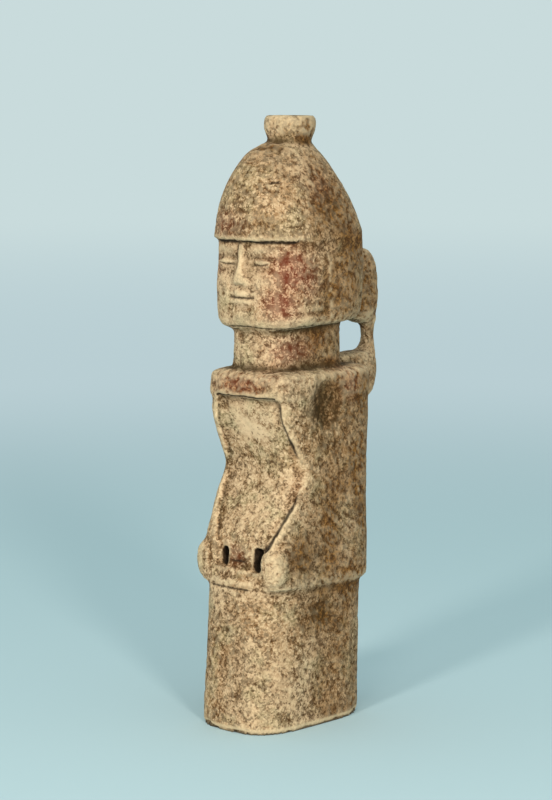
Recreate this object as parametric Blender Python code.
# Ancestor figure: a small stone carving, cut from one block, in metres, +Z up.
# The front faces -Y. The origin is the middle of the flat underside.

import math

import bmesh
import bpy
from mathutils import Vector

NAME = "ancestor_figure"
STONE_COLOUR = (0.44, 0.33, 0.20, 1.0)
STONE_ROUGHNESS = 0.85

# Heights, stacked from the underside up
COLUMN_HEIGHT = 0.0469
BELLY_HEIGHT = 0.0381
CHEST_HEIGHT = 0.0240
COLLAR_HEIGHT = 0.0080
NECK_HEIGHT = 0.0150
FACE_HEIGHT = 0.0280
CAP_HEIGHT = 0.0310
KNOB_HEIGHT = 0.0090

# Half widths and reaches to the front and the back, from the figure's own axis
COLUMN_HALF_WIDTH = 0.0176
COLUMN_REACH = 0.0262
FOOT_BEVEL = 0.0008
BODY_HALF_WIDTH = 0.0181
BODY_FRONT = 0.0232
BODY_BACK = 0.0266
HANDS_FRONT = 0.0244
NECK_HALF_WIDTH = 0.0125
NECK_FRONT = 0.0188
NECK_BACK = 0.0168
HEAD_HALF_WIDTH = 0.0193
HEAD_FRONT = 0.0228
HEAD_BACK = 0.0238
CAP_OVERHANG = 0.0021
KNOB_RADIUS = 0.0085
KNOB_WAIST = 0.0070
DOME_TIP_FRONT = 0.0100

# How far the axis drifts back as it rises to the jaw, and how the ledge falls and the jaw rises to the back
LEAN = 0.0042
LEDGE_FALL = 0.02
HEAD_RISE = 0.05

# The sunk panel between the arms
PANEL_TOP_HALF_WIDTH = 0.0126
PANEL_WAIST_HALF_WIDTH = 0.0154
PANEL_FOOT_HALF_WIDTH = 0.0104
PANEL_SHIFT = 0.0018
PANEL_DEPTH = 0.0020
COLLAR_PROUD = 0.0004
PANEL_SIDE_INSET = 0.0007
BAND_HEIGHT = 0.0062

# Hands
HAND_DEPTH = 0.0010
HAND_STEP = 0.0003
FIST_SIZE = (0.0046, 0.0046, 0.0066)
FIST_PROUD = 0.0005
FIST_SPREAD = 0.0144
FIST_RISE = 0.0012
LEFT_SLOT_WIDTH = 0.0038
LEFT_SLOT_HEIGHT = 0.0076
RIGHT_SLOT_WIDTH = 0.0030
RIGHT_SLOT_HEIGHT = 0.0058
SLOT_DEPTH = 0.0070
SLOT_SPREAD = 0.0074
SLOT_RISE = 0.0038

# The plait behind the neck
PLAIT_HALF_WIDTH = 0.0060
PLAIT_REACH = 0.0418
STRUT_HALF_WIDTH = 0.0028
STRUT_DEPTH = 0.0052
PLAIT_DROP = 0.0170
PLAIT_TAIL = 0.0045
PLAIT_ROUNDING = 0.0012
PLAIT_ROOT = 0.0060
GAP_CORNER = 0.0024

# The hollow behind each shoulder
HOLLOW_SIZE = (0.0060, 0.0105, 0.0108)
HOLLOW_BITE = 0.0021

# The face
NOSE_HALF_WIDTH = 0.0037
NOSE_HEIGHT = 0.0026
LID_SIZE = (0.0043, 0.0011, 0.0018)
MOUTH_HALF_WIDTH = 0.0056
LIP_SIZE = (0.0010, 0.0012)

# Mesh fineness
AROUND = 48
BACK_STEPS = 22
BACK_SQUARE = 4.2
ARM_STEPS = 9
PANEL_STEPS = 10
TRUNK_STEPS = 20
PANEL_WALL = 0.0003
OVERLAP = 0.0030

# Levels worked out from the heights
LEDGE_Z = COLUMN_HEIGHT
PANEL_FOOT_Z = LEDGE_Z + BAND_HEIGHT
WAIST_Z = LEDGE_Z + BELLY_HEIGHT
COLLAR_Z = WAIST_Z + CHEST_HEIGHT
SHOULDER_Z = COLLAR_Z + COLLAR_HEIGHT
CHIN_Z = SHOULDER_Z + NECK_HEIGHT
BRIM_Z = CHIN_Z + FACE_HEIGHT
CAP_TOP_Z = BRIM_Z + CAP_HEIGHT
TOP_Z = CAP_TOP_Z + KNOB_HEIGHT


def axis_y(z):
    return LEAN * math.sin(0.5 * math.pi * min(max(z, 0.0) / BRIM_Z, 1.0))


def clear_scene():
    for obj in list(bpy.data.objects):
        bpy.data.objects.remove(obj, do_unlink=True)


def new_collection(name):
    collection = bpy.data.collections.new(name)
    bpy.context.scene.collection.children.link(collection)
    return collection


def mesh_object(name, bm, collection):
    bmesh.ops.recalc_face_normals(bm, faces=bm.faces)
    mesh = bpy.data.meshes.new(name)
    bm.to_mesh(mesh)
    bm.free()
    obj = bpy.data.objects.new(name, mesh)
    collection.objects.link(obj)
    return obj


def smooth_between(low, high, share):
    share = min(max(share, 0.0), 1.0)
    return low + (high - low) * share * share * (3.0 - 2.0 * share)


def ring_point(section, angle):
    # One point of a rounded rectangle whose front and back differ in reach and squareness.
    z, half_width, front, back, front_square, back_square, fall = section
    c = math.cos(angle)
    s = math.sin(angle)
    square = front_square if s < 0 else back_square
    reach = front if s < 0 else back
    x = half_width * math.copysign(abs(c) ** (2.0 / square), c)
    y = reach * math.copysign(abs(s) ** (2.0 / square), s)
    return Vector((x, y + axis_y(z), z - fall * y))


def skin(name, rings, collection):
    # Joins rings of points, lowest first, into one closed body.
    bm = bmesh.new()
    levels = [[bm.verts.new(point) for point in ring] for ring in rings]
    for lower, upper in zip(levels, levels[1:]):
        for i in range(len(lower)):
            j = (i + 1) % len(lower)
            bm.faces.new((lower[i], lower[j], upper[j], upper[i]))
    bm.faces.new(list(reversed(levels[0])))
    bm.faces.new(levels[-1])
    return mesh_object(name, bm, collection)


def loft(name, sections, collection, around=AROUND):
    angles = [2.0 * math.pi * (i + 0.5) / around for i in range(around)]
    return skin(name, [[ring_point(section, angle) for angle in angles] for section in sections],
                collection)


def ball(name, centre, size, collection, u=16, v=10, square=2.0):
    bm = bmesh.new()
    bmesh.ops.create_uvsphere(bm, u_segments=u, v_segments=v, radius=1.0)
    for vert in bm.verts:
        vert.co *= sum(abs(c) ** square for c in vert.co) ** (-1.0 / square)
    bmesh.ops.scale(bm, vec=size, verts=bm.verts)
    bmesh.ops.translate(bm, vec=centre, verts=bm.verts)
    return mesh_object(name, bm, collection)


def box(name, low, high, collection):
    bm = bmesh.new()
    bmesh.ops.create_cube(bm, size=1.0)
    size = [b - a for a, b in zip(low, high)]
    middle = [(a + b) / 2.0 for a, b in zip(low, high)]
    bmesh.ops.scale(bm, vec=size, verts=bm.verts)
    bmesh.ops.translate(bm, vec=middle, verts=bm.verts)
    return mesh_object(name, bm, collection)


def combine(target, other, operation):
    modifier = target.modifiers.new(other.name, "BOOLEAN")
    modifier.operation = operation
    modifier.solver = "EXACT"
    modifier.object = other
    other.hide_render = True
    other.display_type = "WIRE"


def column(collection):
    # The plain lower body, a little wider at its foot, with a worn bottom edge.
    w = COLUMN_HALF_WIDTH
    r = COLUMN_REACH
    foot = FOOT_BEVEL
    shares = [(foot, 1.01, 1.025), (0.20 * LEDGE_Z, 1.0, 1.025), (0.50 * LEDGE_Z, 1.0, 1.0),
              (LEDGE_Z + OVERLAP, 1.0, 0.98)]
    sections = [(0.0, w - foot, r - foot, r - foot, 3.5, 3.5, 0.0)]
    for z, width, reach in shares:
        sections.append((z, w * width, r * reach, r * reach, 3.5, 3.5, 0.0))
    return loft("column", sections, collection)


def body_front(z):
    # How far the arms reach forward: hands low down, in at the elbows, out again at the chest.
    waist = 0.61 * BODY_FRONT
    if z >= WAIST_Z:
        share = (z - WAIST_Z) / CHEST_HEIGHT
        return waist + (BODY_FRONT - waist) * min(1.0, 1.35 * share) ** 0.8
    share = (z - LEDGE_Z) / BELLY_HEIGHT
    forearm = smooth_between(HANDS_FRONT - HAND_STEP, 0.86 * BODY_FRONT, (share - 0.34) / 0.46)
    if share < 0.34:
        return smooth_between(HANDS_FRONT, HANDS_FRONT - HAND_STEP, (share - 0.28) / 0.06)
    return forearm - (0.86 * BODY_FRONT - waist) * max(0.0, (share - 0.70) / 0.30) ** 1.7


def panel_front(z):
    # How far the sunk surface between the arms reaches: flat chest, slight waist, full belly.
    waist = 0.64 * BODY_FRONT
    if z < WAIST_Z:
        share = (WAIST_Z - z) / BELLY_HEIGHT
        return smooth_between(waist, HANDS_FRONT - HAND_DEPTH, share / 0.72)
    return smooth_between(waist, BODY_FRONT - PANEL_DEPTH, (z - WAIST_Z) / CHEST_HEIGHT)


def panel_half_width(z):
    # The panel's six-sided outline, from its foot between the fists to the collar.
    corners = [(PANEL_FOOT_Z, PANEL_FOOT_HALF_WIDTH),
               (PANEL_FOOT_Z + LEFT_SLOT_HEIGHT, 1.06 * PANEL_FOOT_HALF_WIDTH),
               (LEDGE_Z + 0.55 * BELLY_HEIGHT, 0.86 * PANEL_WAIST_HALF_WIDTH),
               (LEDGE_Z + 0.74 * BELLY_HEIGHT, 0.97 * PANEL_WAIST_HALF_WIDTH),
               (WAIST_Z, PANEL_WAIST_HALF_WIDTH),
               (WAIST_Z + 0.55 * CHEST_HEIGHT, 1.05 * PANEL_TOP_HALF_WIDTH),
               (COLLAR_Z, PANEL_TOP_HALF_WIDTH)]
    for (low_z, low), (high_z, high) in zip(corners, corners[1:]):
        if z <= high_z:
            share = max(0.0, (z - low_z) / (high_z - low_z))
            return low + (high - low) * share
    return PANEL_TOP_HALF_WIDTH


def front_y(x, half_width, front, square):
    return -front * max(1.0 - (abs(x) / half_width) ** square, 0.0) ** (1.0 / square)


def arm_front(edge, wide, reach, square):
    # From the side round to the panel's edge.
    last = math.acos(((edge + PANEL_WALL) / wide) ** (square / 2.0))
    found = []
    for i in range(1, ARM_STEPS + 1):
        x = wide * math.cos(last * i / ARM_STEPS) ** (2.0 / square)
        found.append((x, front_y(x, wide, reach, square)))
    return found


def trunk_ring(z, sunk):
    # One level of the trunk: the back, the right arm, the panel, which sits a little to the
    # figure's left, and the left arm.
    share = (z - LEDGE_Z) / BELLY_HEIGHT
    wide = smooth_between(1.05 * BODY_HALF_WIDTH, BODY_HALF_WIDTH, share)
    back = smooth_between(1.02 * BODY_BACK, BODY_BACK, share)
    square = smooth_between(6.0, 5.0, share)
    fall = smooth_between(LEDGE_FALL, 0.0, 1.6 * share)
    edge = panel_half_width(z)
    reach = body_front(z)
    points = []
    for i in range(BACK_STEPS + 1):
        angle = math.pi * i / BACK_STEPS
        c = math.cos(angle)
        x = wide * math.copysign(abs(c) ** (2.0 / BACK_SQUARE), c)
        points.append((x, back * math.sin(angle) ** (2.0 / BACK_SQUARE)))
    points += [(-x, y) for x, y in arm_front(edge - PANEL_SHIFT, wide, reach, square)]
    for i in range(PANEL_STEPS + 1):
        x = PANEL_SHIFT + (edge - PANEL_WALL) * (2.0 * i / PANEL_STEPS - 1.0)
        if sunk:
            points.append((x, front_y(x, wide - PANEL_SIDE_INSET, panel_front(z), 5.0)))
        else:
            points.append((x, front_y(x, wide, reach, square)))
    points += list(reversed(arm_front(edge + PANEL_SHIFT, wide, reach, square)))
    return [Vector((x, y + axis_y(z), z - fall * y)) for x, y in points]


def trunk(collection):
    # From the ledge up into the collar: hands, arms, back and the sunk chest and belly.
    top = COLLAR_Z + OVERLAP
    levels = [(LEDGE_Z, False), (LEDGE_Z + 0.5 * BAND_HEIGHT, False),
              (PANEL_FOOT_Z - PANEL_WALL, False)]
    for i in range(TRUNK_STEPS + 1):
        z = PANEL_FOOT_Z + PANEL_WALL + (top - PANEL_FOOT_Z - PANEL_WALL) * i / TRUNK_STEPS
        levels.append((z, True))
    return skin("trunk", [trunk_ring(z, sunk) for z, sunk in levels], collection)


def collar(collection):
    # A squared slab over the chest whose lower edge stands proud of the panel.
    width = BODY_HALF_WIDTH + COLLAR_PROUD
    front = BODY_FRONT + COLLAR_PROUD
    back = BODY_BACK + COLLAR_PROUD
    shares = [(0.0, 1.0, 1.0, 1.0, 5.5), (0.5, 1.0, 1.0, 1.0, 5.5), (0.88, 0.985, 0.985, 0.99, 5.5),
              (1.0, 0.95, 0.95, 0.97, 5.0), (1.12, 0.82, 0.89, 0.86, 4.0)]
    sections = []
    for share, wide, forward, rear, square in shares:
        z = COLLAR_Z + share * COLLAR_HEIGHT
        sections.append((z, width * wide, front * forward, back * rear, square, 4.0, 0.0))
    return loft("collar", sections, collection)


def neck(collection):
    w = NECK_HALF_WIDTH
    sections = []
    for share, swell in ((-0.20, 1.06), (0.15, 1.02), (0.6, 1.0), (1.25, 1.02)):
        z = SHOULDER_Z + share * NECK_HEIGHT
        sections.append((z, w * swell, NECK_FRONT * swell, NECK_BACK, 3.6, 3.4, 0.0))
    return loft("neck", sections, collection)


def head(collection):
    # The face block and the hair beside it, from under the jaw to inside the cap.
    shares = [(0.0, 0.80, 0.87, 0.88), (0.03, 0.90, 0.94, 0.95), (0.10, 0.96, 0.98, 0.99),
              (0.22, 0.99, 1.0, 1.0), (0.45, 1.0, 0.995, 1.01), (0.75, 1.0, 0.98, 1.01),
              (0.97, 0.99, 0.96, 0.995), (1.10, 0.92, 0.90, 0.92)]
    sections = []
    for share, width, front, back in shares:
        z = CHIN_Z + share * FACE_HEIGHT
        fall = smooth_between(-HEAD_RISE, 0.0, share * 2.0)
        sections.append((z, HEAD_HALF_WIDTH * width, HEAD_FRONT * front, HEAD_BACK * back,
                         3.3, 3.0, fall))
    return loft("head", sections, collection)


def dome(share, bulge, close):
    return max(1.0 - share ** bulge, 0.0) ** close


def cap(collection):
    # A tall dome, fuller in front and straighter behind. Its brim overhangs the brow and fades
    # into the hair at the sides.
    sections = []
    steps = 12
    front = HEAD_FRONT + CAP_OVERHANG
    width = 1.012 * HEAD_HALF_WIDTH
    back = 1.02 * HEAD_BACK
    tip = 1.03 * KNOB_WAIST
    for i in range(steps + 1):
        share = (i / steps) ** 0.85
        z = BRIM_Z + CAP_HEIGHT * share
        sections.append((z, tip + (width - tip) * dome(share, 1.9, 0.85),
                         DOME_TIP_FRONT + (front - DOME_TIP_FRONT) * dome(share, 2.6, 0.60),
                         tip + (back - tip) * dome(share, 1.32, 1.0),
                         3.0 - 0.8 * share, 3.0 - 0.8 * share, 0.0))
    return loft("cap", sections, collection)


def knob(collection):
    shares = [(-0.25, 0.9), (0.0, 0.83), (0.14, 0.84), (0.42, 0.97), (0.62, 1.0), (0.86, 0.98),
              (1.0, 0.90)]
    sections = []
    for share, width in shares:
        z = CAP_TOP_Z + share * KNOB_HEIGHT
        radius = KNOB_RADIUS * width
        sections.append((z, radius, radius, radius, 2.2, 2.2, 0.0))
    return loft("knob", sections, collection, around=28)


def plait(collection):
    # A lock of hair down the back: a lobe on the head, a thin strut past the gap, a lobe on the back.
    deep = 0.55 * HEAD_BACK
    head_low = CHIN_Z + 0.08 * PLAIT_TAIL
    back_high = CHIN_Z - 0.80 * NECK_HEIGHT
    full = PLAIT_HALF_WIDTH
    thin = STRUT_HALF_WIDTH
    inner = PLAIT_REACH - STRUT_DEPTH
    edge = PLAIT_ROUNDING
    upper = 0.86 * FACE_HEIGHT
    rows = [(back_high - PLAIT_DROP - PLAIT_TAIL, 0.60 * full, deep, 0.66 * PLAIT_REACH),
            (back_high - PLAIT_DROP, 0.80 * full, deep, 0.84 * PLAIT_REACH),
            (back_high - 0.78 * PLAIT_DROP, 0.95 * full, deep, 0.96 * PLAIT_REACH),
            (back_high - 0.40 * PLAIT_DROP, full, deep, PLAIT_REACH),
            (back_high - edge, 0.92 * full, deep, 0.99 * PLAIT_REACH),
            (back_high, 0.75 * full, deep + 0.7 * PLAIT_ROOT, 0.99 * PLAIT_REACH),
            (back_high + 0.5 * edge, 1.3 * thin, inner - 1.4 * edge, 0.985 * PLAIT_REACH),
            (back_high + GAP_CORNER, thin, inner, 0.985 * PLAIT_REACH),
            (head_low - GAP_CORNER - edge, thin, inner, 0.975 * PLAIT_REACH),
            (head_low - 0.6 * GAP_CORNER, 1.35 * thin, inner - 2.7 * edge, 0.985 * PLAIT_REACH),
            (head_low - 0.2 * edge, 0.75 * full, deep + PLAIT_ROOT, 0.99 * PLAIT_REACH),
            (head_low + edge, 0.92 * full, deep, PLAIT_REACH),
            (head_low + 0.30 * upper, full, deep, PLAIT_REACH),
            (head_low + 0.72 * upper, full, deep, 0.98 * PLAIT_REACH),
            (head_low + 0.92 * upper, 0.88 * full, deep, 0.90 * PLAIT_REACH),
            (head_low + upper, 0.60 * full, deep, 0.74 * PLAIT_REACH)]
    around = 24
    rings = []
    for z, half_width, front, back in rows:
        middle = (front + back) / 2.0
        reach = (back - front) / 2.0
        ring = []
        for i in range(around):
            angle = 2.0 * math.pi * (i + 0.5) / around
            c = math.cos(angle)
            s = math.sin(angle)
            x = half_width * math.copysign(abs(c) ** 0.7, c)
            y = reach * math.copysign(abs(s) ** 0.7, s) + middle + axis_y(z)
            ring.append((x, y, z))
        rings.append(ring)
    return skin("plait", rings, collection)


def fists(collection):
    z = PANEL_FOOT_Z + FIST_RISE
    y = axis_y(z) - HANDS_FRONT - FIST_PROUD + FIST_SIZE[1]
    return [ball(f"fist_{side}", (sign * FIST_SPREAD, y, z), FIST_SIZE, collection, square=3.0)
            for side, sign in (("left", 1), ("right", -1))]


def slots(collection):
    z = PANEL_FOOT_Z + SLOT_RISE
    front = axis_y(z) - 1.2 * HANDS_FRONT
    floor = axis_y(z) - HANDS_FRONT + HAND_DEPTH + SLOT_DEPTH
    found = []
    for side, sign, width, height in (("left", 1, LEFT_SLOT_WIDTH, LEFT_SLOT_HEIGHT),
                                      ("right", -1, RIGHT_SLOT_WIDTH, RIGHT_SLOT_HEIGHT)):
        middle = PANEL_SHIFT + sign * SLOT_SPREAD
        low = (middle - width / 2.0, front, z - height / 2.0)
        high = (middle + width / 2.0, floor, z + height / 2.0)
        found.append(box(f"slot_{side}", low, high, collection))
    return found


def hollows(collection):
    z = COLLAR_Z - 0.09 * CHEST_HEIGHT
    found = []
    for side, sign in (("left", 1), ("right", -1)):
        x = sign * (BODY_HALF_WIDTH + HOLLOW_SIZE[0] - HOLLOW_BITE)
        found.append(ball(f"hollow_{side}", (x, axis_y(z), z), HOLLOW_SIZE, collection,
                          u=20, v=12))
    return found


def face_y(z, x=0.0):
    # The head's front surface at this height, so that what is carved on it sits in it.
    share = 1.0 - (abs(x) / HEAD_HALF_WIDTH) ** 3.3
    return axis_y(z) - 0.985 * HEAD_FRONT * share ** (1.0 / 3.3)


def nose(collection):
    # Half way from the brow to the chin, widening and rising towards its base.
    base_z = CHIN_Z + 0.50 * FACE_HEIGHT
    tip_z = base_z + 0.12 * (BRIM_Z - base_z)
    rows = [(BRIM_Z + 0.3 * NOSE_HEIGHT, 0.50, 0.20),
            (base_z + 0.45 * (BRIM_Z - base_z), 0.62, 0.62), (tip_z, 1.0, 1.0),
            (base_z, 0.86, 0.72)]
    rings = []
    for z, width, rise in reversed(rows):
        half = NOSE_HALF_WIDTH * width
        back = face_y(z) + 0.6 * NOSE_HEIGHT
        front = face_y(z) - NOSE_HEIGHT * rise
        points = [(half, back), (0.42 * half, front), (-0.42 * half, front), (-half, back)]
        rings.append([(x, y, z) for x, y in points])
    return skin("nose", rings, collection)


def lids_and_lips(collection):
    eye_z = CHIN_Z + 0.74 * FACE_HEIGHT
    mouth_z = CHIN_Z + 0.335 * FACE_HEIGHT
    eye_x = 0.40 * HEAD_HALF_WIDTH
    found = []
    for side, sign in (("left", 1), ("right", -1)):
        centre = (sign * eye_x, face_y(eye_z, eye_x) + 0.35 * LID_SIZE[1], eye_z)
        found.append(ball(f"lid_{side}", centre, LID_SIZE, collection, u=12, v=8))
    for lip, step in (("upper_lip", 1), ("lower_lip", -1)):
        z = mouth_z + step * 0.9 * LIP_SIZE[1]
        size = (MOUTH_HALF_WIDTH, LIP_SIZE[0], LIP_SIZE[1])
        found.append(ball(lip, (0.0, face_y(z) + 0.45 * LIP_SIZE[0], z), size, collection, u=14, v=6))
    return found


def stone():
    material = bpy.data.materials.new("weathered_stone")
    material.use_nodes = True
    shader = material.node_tree.nodes["Principled BSDF"]
    shader.inputs["Base Color"].default_value = STONE_COLOUR
    shader.inputs["Roughness"].default_value = STONE_ROUGHNESS
    shader.inputs["Metallic"].default_value = 0.0
    material.diffuse_color = STONE_COLOUR
    return material


def main():
    clear_scene()
    parts = new_collection("Ancestor figure")
    helpers = new_collection("Helpers")

    figure = column(parts)
    figure.name = NAME
    for piece in (trunk(helpers), collar(helpers), neck(helpers), head(helpers),
                  cap(helpers), knob(helpers), plait(helpers)):
        combine(figure, piece, "UNION")
    for piece in fists(helpers) + [nose(helpers)] + lids_and_lips(helpers):
        combine(figure, piece, "UNION")
    for cutter in slots(helpers) + hollows(helpers):
        combine(figure, cutter, "DIFFERENCE")

    figure.data.materials.append(stone())
    figure.data.shade_smooth()
    figure.data.set_sharp_from_angle(angle=math.radians(35.0))


main()
